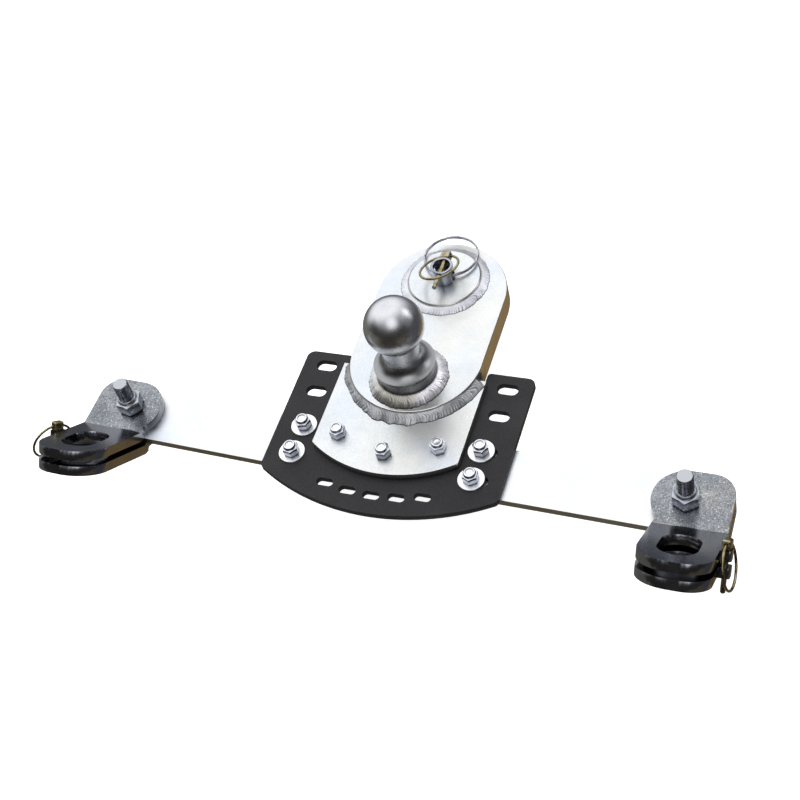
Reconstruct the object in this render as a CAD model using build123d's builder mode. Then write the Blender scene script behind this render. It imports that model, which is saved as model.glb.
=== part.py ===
"""Offset gooseneck hitch ball with adjustable safety-chain arms, one solid per physical piece.

Frame: origin on the shank axis, level with the underside of the offset plate. +Z is up, +Y points to the
rear, the ball stands forward of the shank on -Y, and the chain arms reach out along -X and +X.
"""

import os
from math import cos, radians, sin, sqrt, tan

from build123d import *

os.makedirs("parts", exist_ok=True)

INCH = 25.4

# ---- driving dimensions, millimetres and degrees ----

touch = 0.02  # gap left between faces that bear on each other
running = 0.05  # radial clearance of a running fit

# offset plate: an obround slab that carries the ball forward of the shank
ball_offset = 5.0 * INCH
plate_width = 136.5
plate_thickness = 1.0 * INCH
plate_front_centre = -102.0
plate_rear_centre = -14.85
plate_edge_break = 0.8

# hitch ball, forged in one piece with its neck, collar and tenon
ball_diameter = (2 + 5 / 16) * INCH
ball_centre_height = 78.6  # above the offset plate
neck_radius = 18.8
collar_radius = 29.8
collar_height = 21.3
collar_lip_radius = 30.8
groove_radius = 28.2
tenon_radius = 19.0
tenon_depth = 14.0

# cross plate (powder coated) and the front plate bolted on top of it
cross_top = 9.5
cross_thickness = 0.25 * INCH
cross_half_width = 121.8
cross_back = -98.2
cross_front = -279.6
cross_front_radius = 229.1
cross_notch_radius = 72.0
front_thickness = 7.9
front_half_width = 75.4
front_front = -238.9
front_front_radius = 126.4
front_horn = -114.0
front_notch_radius = 68.5
centre_bolt_spots = [(-52.0, -200.5), (0.0, -215.5), (52.0, -200.5)]

# slots for the chain arms: a front pair and a rear pair on each side
slot_x = 96.5
slot_rows = [-115.0, -148.0, -192.0, -225.0]
slot_length = 21.5
slot_width = 12.4
window_spots = [(-50.0, -252.5), (-25.0, -257.5), (0.0, -259.2), (25.0, -257.5), (50.0, -252.5)]
window_length = 17.0
window_width = 8.2

# chain arms: flat bars clamped under the cross plate, each a little askew within its slots
arm_width = 58.0
arm_thickness = 8.0
arm_bolt_row = -208.5
arm_bolt_spacing = 33.0
arm_inner_overhang = 22.0
arm_reach = {-1: 190.0, 1: 200.5}  # bolt pair to jaw stud, left and right
left_arm_x = -94.0
right_arm_x = 91.0
left_arm_skew = -2.06
right_arm_skew = -1.2
jaw_skew = {-1: -2.0, 1: 0.0}  # each jaw pair's own turn on its stud

# 3/8 in fasteners
bolt_radius = 0.375 * INCH / 2
bolt_hole_radius = 5.1
bolt_head_height = 6.1
nut_across_flats = 14.3
nut_hex_height = 8.6
nut_collar_height = 3.0
washer_radius = 13.2
washer_thickness = 2.0

# chain jaws: two bent plates that sandwich the arm on a 5/8 in stud
jaw_thickness = 0.375 * INCH
jaw_tilt = 40.0
jaw_gap = 6.0  # between the tilted tabs, square to them
jaw_bend = 29.0  # stud axis to the upper bend line
jaw_inner = 25.5
jaw_outer = 42.5
jaw_tab_length = 96.0
jaw_inner_corner = 33.0
jaw_outer_corner = 25.0
pad_inner_radius = 32.0
pad_outer_corner = 22.0
bend_inside_radius = 3.0
bend_outside_radius = bend_inside_radius + jaw_thickness
relief_radius = 6.0
relief_centre = (30.0, 4.5)  # inboard of the stud axis, behind the bend line
eye_length = 55.0
eye_width = 36.0
eye_centre = 49.0  # along the tab from the upper bend line
lug_reach = 10.5
lug_width = 13.0
lug_centre = 40.0
stud_radius = 0.625 * INCH / 2
stud_top = 50.9
stud_head_height = 10.7
stud_across_flats = 23.8
stud_nut_hex_height = 14.0
stud_nut_collar_height = 3.5

# linch pins: a headed pin with a snap ring through the head
pin_radius = 2.4
pin_length = 40.5
pin_head = (10.5, 8.0, 9.0)
pin_eye_height = 4.55
pin_eye_radius = 2.0
ring_radius = 20.8
ring_wire_radius = 1.3
ring_throat = 0.34  # ring centreline to the middle of the pin's eye

# shank, welded through the offset plate, with a ball lock inside
shank_radius = 1.5 * INCH
shank_bottom = -71.0
shank_proud = 6.3
stem_radius = 8.7
chamber_radius = 20.5
chamber_roof = -1.0
chamber_floor = -63.0
cap_seat_radius = 27.0
cap_thickness = 5.0
cap_screw_circle = 23.75
cap_screw_radius = 2.0
lock_ball_radius = 12.7
lock_ball_level = -46.0
lock_ball_reach = 29.3  # shank axis to ball centre when locked
lock_ball_angles = [45, 135, 225, 315]
ball_mouth_radius = 10.6
ball_mouth_lip = 1.5
drum_top = -26.0
drum_tip_radius = 12.0

# guide tube on the shank, the stem it guides and its rings
tube_radius = 11.5
tube_bore = 8.75
tube_top = 50.5
tube_seat_depth = 8.0
tube_slot_width = 9.0
stem_top = 40.3
stem_lift = 4.0
pull_ring_level = 36.0
pull_ring_hole = 3.1
pull_ring_radius = 28.4
pull_wire_radius = 0.98
pull_ring_lean = -3.0
pull_ring_throat = 0.7
safety_pin_level = 46.8

# weld beads, leg lengths
ball_weld_leg = 11.2
ball_weld_rise = 9.6
shank_weld_leg = 9.1
shank_weld_rise = 5.6
plate_weld_leg = 9.6
plate_weld_rise = 7.6
plate_weld_arc = 160.0

# ---- derived levels ----

plate_radius = plate_width / 2
cross_bottom = cross_top - cross_thickness
front_top = cross_top + front_thickness
arm_top = cross_bottom - running
arm_bottom = arm_top - arm_thickness
upper_pad_top = arm_top + running + jaw_thickness
lower_pad_top = arm_bottom - running
lower_pad_bottom = lower_pad_top - jaw_thickness
shank_top = plate_thickness + shank_proud

# the lower jaw bends further forward, so that its tab runs parallel to the upper one at jaw_gap
pad_pitch = upper_pad_top - lower_pad_top
tab_pitch = jaw_thickness + jaw_gap
bend_shift = (tab_pitch - pad_pitch * cos(radians(jaw_tilt))) / sin(radians(jaw_tilt))
tab_shift = pad_pitch * sin(radians(jaw_tilt)) - bend_shift * cos(radians(jaw_tilt))

left_arm_frame = Plane(
    origin=(left_arm_x, arm_bolt_row, 0),
    x_dir=(cos(radians(left_arm_skew)), sin(radians(left_arm_skew)), 0),
    z_dir=(0, 0, 1),
)
right_arm_frame = Plane(
    origin=(right_arm_x, arm_bolt_row, 0),
    x_dir=(cos(radians(right_arm_skew)), sin(radians(right_arm_skew)), 0),
    z_dir=(0, 0, 1),
)


# ---- shared shapes ----


def jaw_frame(arm_frame, side):
    """Frame on a jaw's stud axis; side is -1 for the left arm and +1 for the right."""
    stud_foot = arm_frame.from_local_coords(Vector(side * arm_reach[side], 0, 0))
    turn = radians(jaw_skew[side])
    return Plane(origin=stud_foot, x_dir=(cos(turn), sin(turn), 0), z_dir=(0, 0, 1))


def tab_plane(frame, bend, pad_top):
    """Plane on a tilted tab's top face: X along the bend line, Y back down towards the pad."""
    corner = frame.from_local_coords(Vector(0, -bend, pad_top))
    normal = frame.y_dir * sin(radians(jaw_tilt)) + frame.z_dir * cos(radians(jaw_tilt))
    return Plane(origin=corner, x_dir=frame.x_dir, z_dir=normal)


def hex_prism(across_flats, height, bottom_chamfer=True):
    """Hexagon standing on XY with its corners turned off in a 30 degree chamfer."""
    corner_radius = across_flats / sqrt(3)
    flat_radius = 0.475 * across_flats
    drop = (corner_radius - flat_radius) * tan(radians(30))
    with BuildPart() as prism:
        with BuildSketch():
            RegularPolygon(across_flats / 2, 6, major_radius=False)
        extrude(amount=height)
        with BuildSketch(Plane.XZ):
            with BuildLine():
                Polyline(
                    (0, 0),
                    (flat_radius if bottom_chamfer else corner_radius, 0),
                    (corner_radius, drop if bottom_chamfer else 0.01),
                    (corner_radius, height - drop),
                    (flat_radius, height),
                    (0, height),
                    close=True,
                )
            make_face()
        revolve(axis=Axis.Z, mode=Mode.INTERSECT)
    return prism.part


def hex_bolt(radius, across_flats, head_height, length):
    """Bolt with its head hanging below XY and its shank rising to length."""
    head = hex_prism(across_flats, head_height)
    with BuildPart() as bolt:
        with Locations((0, 0, -head_height)):
            add(head)
        with BuildSketch():
            Circle(radius)
        extrude(amount=length)
        chamfer(bolt.edges().sort_by(Axis.Z)[-1], 0.12 * radius)
    return bolt.part


def lock_nut(bore, across_flats, hex_height, collar_height):
    """Prevailing-torque nut: a chamfered hexagon under a round collar."""
    body = hex_prism(across_flats, hex_height)
    with BuildPart() as nut:
        add(body)
        with BuildSketch(Plane.XY.offset(hex_height - 0.4)):
            Circle(0.41 * across_flats)
        extrude(amount=collar_height + 0.4)
        fillet(nut.edges().sort_by(Axis.Z)[-1], 0.06 * across_flats)
        with BuildSketch():
            Circle(bore)
        extrude(amount=hex_height + collar_height, mode=Mode.SUBTRACT)
    return nut.part


def washer(bore, radius, thickness):
    with BuildPart() as ring:
        with BuildSketch():
            Circle(radius)
            Circle(bore, mode=Mode.SUBTRACT)
        extrude(amount=thickness)
        chamfer(ring.edges().group_by(Axis.Z)[-1].sort_by(SortBy.RADIUS)[-1], 0.35)
    return ring.part


def bead(inner_radius, level, leg, rise, arc=360.0):
    """Convex fillet bead around the local Z axis, starting on the local XZ plane."""
    bulge = 0.62
    with BuildPart() as ring:
        with BuildSketch(Plane.XZ):
            with BuildLine():
                Line((inner_radius, level), (inner_radius + leg, level))
                ThreePointArc(
                    (inner_radius + leg, level),
                    (inner_radius + bulge * leg, level + bulge * rise),
                    (inner_radius, level + rise),
                )
                Line((inner_radius, level + rise), (inner_radius, level))
            make_face()
        revolve(axis=Axis.Z, revolution_arc=arc)
    return ring.part


def pad_outline(side, bend):
    """Plan of a jaw's flat pad around the stud axis, from the bend line to the rear edge."""
    neck = sqrt(pad_inner_radius**2 - jaw_inner**2)
    diagonal = pad_inner_radius * sin(radians(45))
    corner = (jaw_outer - pad_outer_corner, pad_inner_radius - pad_outer_corner)
    corner_diagonal = pad_outer_corner * sin(radians(45))
    with BuildSketch() as outline:
        with BuildLine():
            Line((-side * jaw_inner, -bend), (-side * jaw_inner, -neck))
            ThreePointArc(
                (-side * jaw_inner, -neck),
                (-side * diagonal, diagonal),
                (0, pad_inner_radius),
            )
            Line((0, pad_inner_radius), (side * corner[0], pad_inner_radius))
            ThreePointArc(
                (side * corner[0], pad_inner_radius),
                (side * (corner[0] + corner_diagonal), corner[1] + corner_diagonal),
                (side * jaw_outer, corner[1]),
            )
            Line((side * jaw_outer, corner[1]), (side * jaw_outer, -bend))
            Line((side * jaw_outer, -bend), (-side * jaw_inner, -bend))
        make_face()
    return outline.sketch


def tab_outline(side, tip):
    """Outline of a jaw's tilted tab; the bend line is local Y = 0 and the tip local Y = -tip."""
    middle = side * (jaw_outer - jaw_inner) / 2
    with BuildSketch() as outline:
        with Locations((middle, -tip / 2)):
            Rectangle(jaw_outer + jaw_inner, tip)
        fillet(outline.vertices().sort_by_distance((-side * jaw_inner, -tip))[0], jaw_inner_corner)
        fillet(outline.vertices().sort_by_distance((side * jaw_outer, -tip))[0], jaw_outer_corner)
    return outline.sketch


def jaw(arm_frame, side, bend, pad_top, shift):
    """Bent jaw plate. shift is how far this jaw's own bend line lies back from the upper one's."""
    frame = jaw_frame(arm_frame, side)
    tab = tab_plane(frame, bend, pad_top)
    tip = jaw_tab_length + shift
    middle = side * (jaw_outer - jaw_inner) / 2
    low_x = min(-side * jaw_inner, side * jaw_outer)
    wedge_plane = Plane(
        origin=frame.from_local_coords(Vector(low_x, 0, 0)), x_dir=frame.y_dir, z_dir=frame.x_dir
    )
    half = tan(radians(jaw_tilt / 2))
    outside_bend = (-bend - jaw_thickness * half, pad_top - jaw_thickness)
    along_bend = Axis((0, 0, 0), frame.x_dir)
    with BuildPart() as plate:
        with BuildSketch(frame.offset(pad_top - jaw_thickness)):
            add(pad_outline(side, bend))
        extrude(amount=jaw_thickness)
        with BuildSketch(tab):
            add(tab_outline(side, tip))
        extrude(amount=-jaw_thickness)
        with BuildSketch(wedge_plane):
            with BuildLine():
                Polyline(
                    (-bend, pad_top),
                    (-bend, pad_top - jaw_thickness),
                    outside_bend,
                    (
                        -bend - jaw_thickness * sin(radians(jaw_tilt)),
                        pad_top - jaw_thickness * cos(radians(jaw_tilt)),
                    ),
                    close=True,
                )
            make_face()
        extrude(amount=jaw_inner + jaw_outer)
        lengthwise = plate.edges().filter_by(along_bend)
        inside_point = frame.from_local_coords(Vector(middle, -bend, pad_top))
        outside_point = frame.from_local_coords(Vector(middle, *outside_bend))
        inside_edge = lengthwise.sort_by_distance(inside_point)[0]
        fillet(inside_edge, bend_inside_radius)
        lengthwise = plate.edges().filter_by(along_bend)
        outside_edge = lengthwise.sort_by_distance(outside_point)[0]
        fillet(outside_edge, bend_outside_radius)
        # lug for the linch pin on the outboard edge
        with BuildSketch(tab):
            with Locations((side * (jaw_outer + lug_reach / 2 - 1), -lug_centre - shift)):
                RectangleRounded(lug_reach + 2, lug_width, 2.5)
        extrude(amount=-jaw_thickness)
        # bend relief at the inboard end of the bend line
        with BuildSketch(frame.offset(pad_top)):
            with Locations((-side * relief_centre[0], -bend + relief_centre[1])):
                Circle(relief_radius)
        extrude(amount=-2 * jaw_thickness, mode=Mode.SUBTRACT)
        # stud hole, chain eye and linch pin hole
        with BuildSketch(frame.offset(pad_top)):
            Circle(stud_radius + running)
        extrude(amount=-2 * jaw_thickness, mode=Mode.SUBTRACT)
        with BuildSketch(tab):
            with Locations((middle, -eye_centre - shift)):
                SlotOverall(eye_length, eye_width, rotation=90)
            with Locations((side * (jaw_outer + lug_reach / 2), -lug_centre - shift)):
                Circle(pin_radius + running)
        extrude(amount=-2 * jaw_thickness, mode=Mode.SUBTRACT)
    return plate.part


def jaw_pin_plane(arm_frame, side, swing):
    """Plane at a linch pin's seat on the upper lug: Z out of the lug, X along the pin's eye.

    swing turns the eye from the tab's length towards the outboard side.
    """
    tab = tab_plane(jaw_frame(arm_frame, side), jaw_bend, upper_pad_top)
    seat = tab.from_local_coords(Vector(side * (jaw_outer + lug_reach / 2), -lug_centre, touch))
    forward = tab.y_dir * -1
    outward = tab.x_dir * side
    eye = forward * cos(radians(swing)) + outward * sin(radians(swing))
    return Plane(origin=seat, x_dir=eye, z_dir=tab.z_dir)


def linch_pin(seat):
    """Headed pin whose head sits on the seat plane and whose shaft points down the plane's -Z."""
    eye_plane = Plane(origin=seat.origin, x_dir=seat.y_dir, z_dir=seat.x_dir)
    with BuildPart() as pin:
        with BuildSketch(seat):
            Rectangle(pin_head[0], pin_head[1])
        extrude(amount=pin_head[2])
        fillet(pin.edges(), 1.6)
        with BuildSketch(seat.offset(2.0)):
            Circle(pin_radius)
        extrude(amount=-2.0 - pin_length)
        tip = seat.from_local_coords(Vector(0, 0, -pin_length))
        rims = pin.edges().filter_by(GeomType.CIRCLE)
        chamfer(rims.sort_by_distance(tip)[0], 1.1)
        with BuildSketch(eye_plane.offset(-pin_head[0])):
            with Locations((0, pin_eye_height)):
                Circle(pin_eye_radius)
        extrude(amount=2 * pin_head[0], mode=Mode.SUBTRACT)
    return pin.part


def snap_ring(seat, open_angle, side):
    """Ring through a linch pin's eye, swung open_angle away from the pin towards side * seat Y."""
    reach = ring_radius - ring_throat
    drop = Vector(0, side * sin(radians(open_angle)), -cos(radians(open_angle)))
    centre = seat.from_local_coords(Vector(0, 0, pin_eye_height) + drop * reach)
    across = seat.x_dir
    along = seat.y_dir * drop.Y + seat.z_dir * drop.Z
    with BuildPart(Plane(origin=centre, x_dir=across, z_dir=across.cross(along))) as ring:
        Torus(ring_radius, ring_wire_radius)
    return ring.part


# ---- welded frame ----

with BuildPart() as offset_plate:
    with BuildSketch():
        with Locations((0, (plate_front_centre + plate_rear_centre) / 2)):
            SlotCenterToCenter(plate_rear_centre - plate_front_centre, plate_width, rotation=90)
    extrude(amount=plate_thickness)
    chamfer(offset_plate.faces().sort_by(Axis.Z)[-1].edges(), plate_edge_break)
    chamfer(offset_plate.faces().sort_by(Axis.Z)[0].edges(), plate_edge_break)
    with BuildSketch():
        Circle(shank_radius + running)
    extrude(amount=plate_thickness, mode=Mode.SUBTRACT)
    with BuildSketch(Plane.XY.offset(plate_thickness)):
        with Locations((0, -ball_offset)):
            Circle(tenon_radius + running)
    extrude(amount=-tenon_depth - running, mode=Mode.SUBTRACT)

with BuildPart() as hitch_ball:
    ball_radius = ball_diameter / 2
    ball_foot = ball_centre_height - sqrt(ball_radius**2 - neck_radius**2)
    with BuildSketch(Plane(origin=(0, -ball_offset, plate_thickness), x_dir=(1, 0, 0), z_dir=(0, -1, 0))):
        with BuildLine():
            Polyline(
                (0, -tenon_depth),
                (tenon_radius, -tenon_depth),
                (tenon_radius, 0),
                (collar_radius, 0),
                (collar_radius, collar_height),
                (groove_radius, collar_height + 0.4),
                (groove_radius, collar_height + 1.6),
                (collar_lip_radius, collar_height + 2.0),
                (collar_lip_radius, collar_height + 3.3),
            )
            ThreePointArc(
                (collar_lip_radius, collar_height + 3.3),
                (22.4, collar_height + 8.6),
                (neck_radius, collar_height + 19.0),
            )
            Line((neck_radius, collar_height + 19.0), (neck_radius, ball_foot))
            ThreePointArc(
                (neck_radius, ball_foot),
                (ball_radius, ball_centre_height),
                (0, ball_centre_height + ball_radius),
            )
            Line((0, ball_centre_height + ball_radius), (0, -tenon_depth))
        make_face()
    revolve(axis=Axis((0, -ball_offset, 0), (0, 0, 1)))
    throat = hitch_ball.edges().sort_by_distance((neck_radius, -ball_offset, plate_thickness + ball_foot))[0]
    fillet(throat, 3.0)

with BuildPart() as ball_weld:
    with Locations((0, -ball_offset, 0)):
        add(bead(collar_radius, plate_thickness, ball_weld_leg, ball_weld_rise))

with BuildPart() as shank_weld:
    add(bead(shank_radius, plate_thickness, shank_weld_leg, shank_weld_rise))

with BuildPart() as plate_weld:
    with Locations(Location((0, plate_front_centre, 0), (0, 0, -90 - plate_weld_arc / 2))):
        add(bead(plate_radius, front_top, plate_weld_leg, plate_weld_rise, plate_weld_arc))

with BuildPart() as front_plate:
    front_centre = front_front + front_front_radius
    corner_y = front_centre - sqrt(front_front_radius**2 - front_half_width**2)
    horn_x = sqrt(front_notch_radius**2 - (front_horn - plate_front_centre) ** 2)
    with BuildSketch(Plane.XY.offset(cross_top)):
        with BuildLine():
            ThreePointArc((-front_half_width, corner_y), (0, front_front), (front_half_width, corner_y))
            Line((front_half_width, corner_y), (front_half_width, front_horn))
            Line((front_half_width, front_horn), (horn_x, front_horn))
            ThreePointArc(
                (horn_x, front_horn),
                (0, plate_front_centre - front_notch_radius),
                (-horn_x, front_horn),
            )
            Line((-horn_x, front_horn), (-front_half_width, front_horn))
            Line((-front_half_width, front_horn), (-front_half_width, corner_y))
        make_face()
        with Locations(*centre_bolt_spots):
            Circle(bolt_hole_radius, mode=Mode.SUBTRACT)
    extrude(amount=front_thickness)
    upright = front_plate.edges().filter_by(Axis.Z)
    sides = upright.filter_by(lambda edge: abs(edge.center().X) > front_half_width - 1)
    fillet(sides.group_by(Axis.Y)[0], 3.0)

with BuildPart() as cross_plate:
    cross_centre = cross_front + cross_front_radius
    corner_y = cross_centre - sqrt(cross_front_radius**2 - cross_half_width**2)
    notch_floor = plate_front_centre - cross_notch_radius
    with BuildSketch(Plane.XY.offset(cross_bottom)):
        with BuildLine():
            ThreePointArc((-cross_half_width, corner_y), (0, cross_front), (cross_half_width, corner_y))
            Line((cross_half_width, corner_y), (cross_half_width, cross_back))
            Line((cross_half_width, cross_back), (cross_notch_radius, cross_back))
            Line((cross_notch_radius, cross_back), (cross_notch_radius, plate_front_centre))
            ThreePointArc(
                (cross_notch_radius, plate_front_centre),
                (0, notch_floor),
                (-cross_notch_radius, plate_front_centre),
            )
            Line((-cross_notch_radius, plate_front_centre), (-cross_notch_radius, cross_back))
            Line((-cross_notch_radius, cross_back), (-cross_half_width, cross_back))
            Line((-cross_half_width, cross_back), (-cross_half_width, corner_y))
        make_face()
        with Locations(*centre_bolt_spots):
            Circle(bolt_hole_radius, mode=Mode.SUBTRACT)
        with Locations(*[(side * slot_x, row) for side in (-1, 1) for row in slot_rows]):
            SlotOverall(slot_length, slot_width, mode=Mode.SUBTRACT)
        with Locations(*window_spots):
            SlotOverall(window_length, window_width, mode=Mode.SUBTRACT)
    extrude(amount=cross_thickness)
    upright = cross_plate.edges().filter_by(Axis.Z)
    back_corners = upright.group_by(Axis.Y)[-1]
    outer_back = back_corners.filter_by(lambda edge: abs(edge.center().X) > cross_half_width - 1)
    inner_back = back_corners.filter_by(lambda edge: abs(edge.center().X) < cross_notch_radius + 1)
    fillet(outer_back, 8.0)
    fillet(inner_back, 3.5)
    upright = cross_plate.edges().filter_by(Axis.Z)
    sides = upright.filter_by(lambda edge: abs(edge.center().X) > cross_half_width - 1)
    fillet(sides.group_by(Axis.Y)[0], 6.0)

centre_bolt_length = cross_thickness + front_thickness + 10.6
centre_bolt = hex_bolt(bolt_radius, nut_across_flats, bolt_head_height, centre_bolt_length)
small_nut = lock_nut(bolt_radius + running, nut_across_flats, nut_hex_height, nut_collar_height)
small_washer = washer(bolt_radius + 0.4, washer_radius, washer_thickness)

with BuildPart() as centre_bolts:
    with Locations(*[(x, y, cross_bottom - touch) for x, y in centre_bolt_spots]):
        add(centre_bolt)

with BuildPart() as centre_nuts:
    with Locations(*[(x, y, front_top + touch) for x, y in centre_bolt_spots]):
        add(small_nut)

# ---- shank and its ball lock ----

with BuildPart() as shank:
    with BuildSketch(Plane.XY.offset(shank_bottom)):
        Circle(shank_radius)
    extrude(amount=shank_top - shank_bottom)
    chamfer(shank.edges().group_by(Axis.Z)[-1], 1.2)
    chamfer(shank.edges().group_by(Axis.Z)[0], 3.0)
    with BuildSketch(Plane.XY.offset(shank_bottom)):
        Circle(cap_seat_radius)
    extrude(amount=chamber_floor - shank_bottom, mode=Mode.SUBTRACT)
    with BuildSketch(Plane.XY.offset(chamber_floor)):
        Circle(chamber_radius)
    extrude(amount=chamber_roof - chamber_floor, mode=Mode.SUBTRACT)
    with BuildSketch(Plane.XY.offset(chamber_roof)):
        Circle(stem_radius + running)
    extrude(amount=shank_top - chamber_roof, mode=Mode.SUBTRACT)
    with BuildSketch(Plane.XY.offset(shank_top)):
        Circle(tube_radius + touch)
    extrude(amount=-tube_seat_depth, mode=Mode.SUBTRACT)
    with BuildSketch(Plane.XY.offset(chamber_floor)):
        with PolarLocations(cap_screw_circle, 4):
            Circle(cap_screw_radius + touch)
    extrude(amount=12.0, mode=Mode.SUBTRACT)
    for angle in lock_ball_angles:
        outward = (cos(radians(angle)), sin(radians(angle)), 0)
        radial = Plane(origin=(0, 0, lock_ball_level), x_dir=(0, 0, 1), z_dir=outward)
        with BuildSketch(radial.offset(chamber_radius - 6)):
            Circle(lock_ball_radius + running)
        extrude(amount=shank_radius - ball_mouth_lip - chamber_radius + 6, mode=Mode.SUBTRACT)
        with BuildSketch(radial.offset(chamber_radius)):
            Circle(ball_mouth_radius)
        extrude(amount=shank_radius, mode=Mode.SUBTRACT)

with BuildPart() as guide_tube:
    with BuildSketch(Plane.XY.offset(shank_top - tube_seat_depth + touch)):
        Circle(tube_radius)
        Circle(tube_bore, mode=Mode.SUBTRACT)
    extrude(amount=tube_top - shank_top + tube_seat_depth - touch)
    chamfer(guide_tube.edges().group_by(Axis.Z)[-1], 0.5)
    slot_low = shank_top + touch
    slot_high = pull_ring_level + stem_lift + tube_slot_width / 2
    with BuildSketch(Plane.YZ.offset(-tube_radius - 1)):
        with Locations((0, (slot_low + slot_high) / 2)):
            RectangleRounded(tube_slot_width, slot_high - slot_low, 3.0)
    extrude(amount=2 * tube_radius + 2, mode=Mode.SUBTRACT)
    with BuildSketch(Plane.XZ.offset(-tube_radius - 1)):
        with Locations((0, safety_pin_level)):
            Circle(pin_radius + running)
    extrude(amount=2 * tube_radius + 2, mode=Mode.SUBTRACT)

# The lock stem ends in a drum with a 45 degree cone that wedges the lock balls outwards. The cone is the
# line that stays tangent to a ball while the stem lifts and the ball moves inwards by the same amount.
cone_offset = (lock_ball_radius + running) * sin(radians(45))
cone_radius = lock_ball_reach - cone_offset
cone_level = lock_ball_level + cone_offset
drum_radius = chamber_radius - running
drum_edge = cone_level + drum_radius - cone_radius
drum_tip = cone_level - cone_radius + drum_tip_radius

with BuildPart() as lock_stem:
    with BuildSketch(Plane.XZ):
        with BuildLine():
            Polyline(
                (0, drum_tip),
                (drum_tip_radius, drum_tip),
                (drum_radius, drum_edge),
                (drum_radius, drum_top),
                (stem_radius, drum_top),
                (stem_radius, stem_top),
                (0, stem_top),
                close=True,
            )
        make_face()
    revolve(axis=Axis.Z)
    chamfer(lock_stem.edges().group_by(Axis.Z)[-1], 0.6)
    with BuildSketch(Plane.YZ.offset(-2 * stem_radius)):
        with Locations((0, pull_ring_level)):
            Circle(pull_ring_hole)
    extrude(amount=4 * stem_radius, mode=Mode.SUBTRACT)

spring_wire = 1.6
spring_radius = 16.6
spring_turns = 3
spring_margin = 0.3

with BuildPart() as lock_spring:
    spring_low = drum_top + spring_wire + spring_margin
    spring_height = chamber_roof - drum_top - 2 * (spring_wire + spring_margin)
    with BuildLine() as coil:
        Helix(spring_height / spring_turns, spring_height, spring_radius, center=(0, 0, spring_low))
    with BuildSketch(Plane(origin=coil.line @ 0, z_dir=coil.line % 0)):
        Circle(spring_wire)
    sweep(path=coil.line, is_frenet=True)


def lock_ball(angle):
    place = (lock_ball_reach * cos(radians(angle)), lock_ball_reach * sin(radians(angle)), lock_ball_level)
    with BuildPart() as ball:
        with Locations(place):
            Sphere(lock_ball_radius)
    return ball


lock_balls = [lock_ball(angle) for angle in lock_ball_angles]

with BuildPart() as base_cap:
    with BuildSketch(Plane.XY.offset(chamber_floor - touch)):
        Circle(cap_seat_radius - 0.1)
        Circle(6.0, mode=Mode.SUBTRACT)
        with PolarLocations(cap_screw_circle, 4):
            Circle(cap_screw_radius + 0.2, mode=Mode.SUBTRACT)
    extrude(amount=-cap_thickness)

with BuildPart() as cap_screws:
    head_level = chamber_floor - touch - cap_thickness - touch
    with BuildSketch(Plane.XY.offset(head_level)):
        with PolarLocations(cap_screw_circle, 4):
            Circle(3.0)
    extrude(amount=-2.6)
    with BuildSketch(Plane.XY.offset(head_level)):
        with PolarLocations(cap_screw_circle, 4):
            Circle(cap_screw_radius)
    extrude(amount=cap_thickness + 11.0)
    with BuildSketch(Plane.XY.offset(head_level - 2.6)):
        with PolarLocations(cap_screw_circle, 4):
            RegularPolygon(1.5, 6, major_radius=False)
    extrude(amount=1.6, mode=Mode.SUBTRACT)

# split pull ring: two turns of wire side by side, threaded through the stem and leaning to the rear
lean = Vector(0, cos(radians(pull_ring_lean)), sin(radians(pull_ring_lean)))
pull_ring_centre = Vector(0, 0, pull_ring_level) + lean * (pull_ring_radius - pull_ring_throat)
pull_ring_plane = Plane(origin=pull_ring_centre, x_dir=(1, 0, 0), z_dir=Vector(1, 0, 0).cross(lean))

with BuildPart(pull_ring_plane) as pull_ring:
    with Locations((0, 0, -0.93 * pull_wire_radius), (0, 0, 0.93 * pull_wire_radius)):
        Torus(pull_ring_radius, pull_wire_radius)

# safety pin across the guide tube, above the stem: its head at the rear, its eye rolled a little
safety_roll = 15.0
safety_ring_angle = 13.0
safety_seat = Plane(
    origin=(0, tube_radius + running, safety_pin_level),
    x_dir=(cos(radians(safety_roll)), 0, sin(radians(safety_roll))),
    z_dir=(0, 1, 0),
)

with BuildPart() as safety_pin:
    add(linch_pin(safety_seat))

with BuildPart() as safety_ring:
    add(snap_ring(safety_seat, safety_ring_angle, -1))

# ---- chain arms ----


def arm(frame, side):
    """Flat bar with a round outer end about the stud."""
    bar_length = arm_reach[side] + arm_inner_overhang
    with BuildPart() as bar:
        with BuildSketch(frame.offset(arm_bottom)):
            with Locations((side * (bar_length / 2 - arm_inner_overhang), 0)):
                Rectangle(bar_length, arm_width)
            with Locations((side * arm_reach[side], 0)):
                Circle(arm_width / 2)
                Circle(stud_radius + running, mode=Mode.SUBTRACT)
            with Locations((0, -arm_bolt_spacing / 2), (0, arm_bolt_spacing / 2)):
                Circle(bolt_hole_radius, mode=Mode.SUBTRACT)
        extrude(amount=arm_thickness)
    return bar.part


def bolt_pair(frame, level):
    """The two places of an arm's bolts at the given height."""
    ends = (-arm_bolt_spacing / 2, arm_bolt_spacing / 2)
    return [Location(frame.from_local_coords(Vector(0, y, level)), (0, 0, 15)) for y in ends]


def stud_place(frame, side, level):
    return Location(frame.from_local_coords(Vector(side * arm_reach[side], 0, level)), (0, 0, 20))


arm_bolt_length = arm_thickness + running + cross_thickness + washer_thickness + 10.6
arm_bolt = hex_bolt(bolt_radius, nut_across_flats, bolt_head_height, arm_bolt_length)
jaw_stud = hex_bolt(stud_radius, stud_across_flats, stud_head_height, stud_top - lower_pad_bottom)
stud_nut = lock_nut(stud_radius + running, stud_across_flats, stud_nut_hex_height, stud_nut_collar_height)

with BuildPart() as left_arm:
    add(arm(left_arm_frame, -1))

with BuildPart() as right_arm:
    add(arm(right_arm_frame, 1))

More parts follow.
